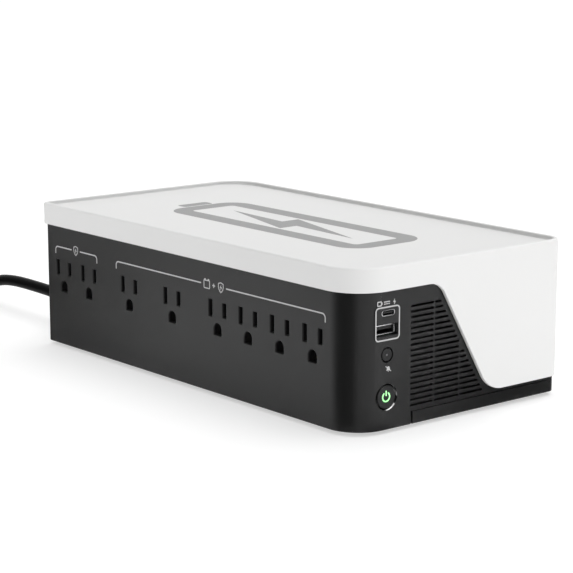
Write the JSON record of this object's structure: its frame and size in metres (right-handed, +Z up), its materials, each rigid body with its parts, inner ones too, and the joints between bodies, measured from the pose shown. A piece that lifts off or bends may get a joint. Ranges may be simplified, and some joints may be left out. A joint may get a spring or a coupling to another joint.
{
  "type": "uninterruptible power supply",
  "caption": "Desktop battery backup unit: black case with a wall of outlets, USB ports, power and mute buttons, and a white tray-topped cover with an S-shaped edge.",
  "frame": {"origin": "centre of the footprint on the surface the feet stand on, without the mains lead", "axes": "+Z up, +Y from the front panel towards the rear, outlets on the -X wall"},
  "size_m": [0.2388, 0.5289, 0.0902],
  "materials": {
    "case_black": "fine matte texture",
    "cover_white": "satin",
    "button_black": "satin",
    "power_light": "lit light pipe",
    "lens_clear": "clear",
    "port_metal": "plated",
    "port_tongue": "moulded",
    "foot_rubber": "matte",
    "screw_steel": "plated",
    "carrier_grey": "moulded",
    "contact_brass": "rolled",
    "board_green": "solder mask",
    "switch_grey": "moulded",
    "battery_grey": "moulded",
    "lead_red": "jacket",
    "lead_black": "jacket",
    "core_steel": "laminated",
    "winding_copper": "enamelled",
    "heat_sink_aluminium": "extruded",
    "component_black": "moulded",
    "capacitor_grey": "sleeved",
    "breaker_black": "moulded",
    "breaker_red": "moulded",
    "cord_jacket": "vinyl jacket",
    "relief_rubber": "moulded",
    "tie_black": "strap",
    "print_grey": "printed ink"
  },
  "bodies": {
    "case": {"battery": "battery_grey", "breaker_body": "breaker_black", "breaker_nut": "breaker_black", "buzzer": "component_black", "capacitor_1": "capacitor_grey", "capacitor_2": "capacitor_grey", "capacitor_3": "capacitor_grey", "carrier_battery": "carrier_grey", "carrier_surge": "carrier_grey", "case_screw_1": "screw_steel", "case_screw_2": "screw_steel", "case_screw_3": "screw_steel", "case_screw_4": "screw_steel", "cord_coil": "cord_jacket", "cord_tail": "cord_jacket", "cord_tie": "tie_black", "foot_1": "foot_rubber", "foot_2": "foot_rubber", "foot_3": "foot_rubber", "front_board": "board_green", "ground_strip": "contact_brass", "heat_sink": "heat_sink_aluminium", "hot_strip_battery": "contact_brass", "hot_strip_surge": "contact_brass", "lead_negative": "lead_black", "lead_positive": "lead_red", "main_board": "board_green", "main_shell": "case_black", "mute_switch": "switch_grey", "neutral_strip": "contact_brass", "plug_blade_1": "contact_brass", "plug_blade_2": "contact_brass", "plug_body": "cord_jacket", "plug_ground_pin": "contact_brass", "power_cord": "cord_jacket", "power_switch": "switch_grey", "relay_1": "component_black", "relay_2": "component_black", "strain_relief": "relief_rubber", "terminal_negative": "contact_brass", "terminal_positive": "contact_brass", "top_cover": "cover_white", "transformer_core": "core_steel", "transformer_winding": "winding_copper", "usb_a_shell": "port_metal", "usb_a_tongue": "port_tongue", "usb_c_shell": "port_metal", "usb_c_tongue": "port_tongue"},
    "power_button": {"power_button": "button_black", "power_lens": "power_light"},
    "mute_button": {"mute_button": "button_black", "mute_lens": "lens_clear"},
    "breaker_button": {"breaker_button": "breaker_red"},
    "battery_cover": {"battery_cover": "case_black", "foot_4": "foot_rubber"}
  },
  "joints": [
    {"name": "power_button_press", "type": "slide", "parent": "case", "child": "power_button", "axis": [0, 1, 0], "range_m": [0, 0.0015], "stiffness_N_per_m": 600},
    {"name": "mute_button_press", "type": "slide", "parent": "case", "child": "mute_button", "axis": [0, 1, 0], "range_m": [0, 0.001], "stiffness_N_per_m": 600},
    {"name": "breaker_button_trip", "type": "slide", "parent": "case", "child": "breaker_button", "axis": [0, 1, 0], "range_m": [0, 0.003]},
    {"name": "battery_cover_slide", "type": "slide", "parent": "case", "child": "battery_cover", "axis": [0, -1, 0], "range_m": [0, 0.2]}
  ]
}
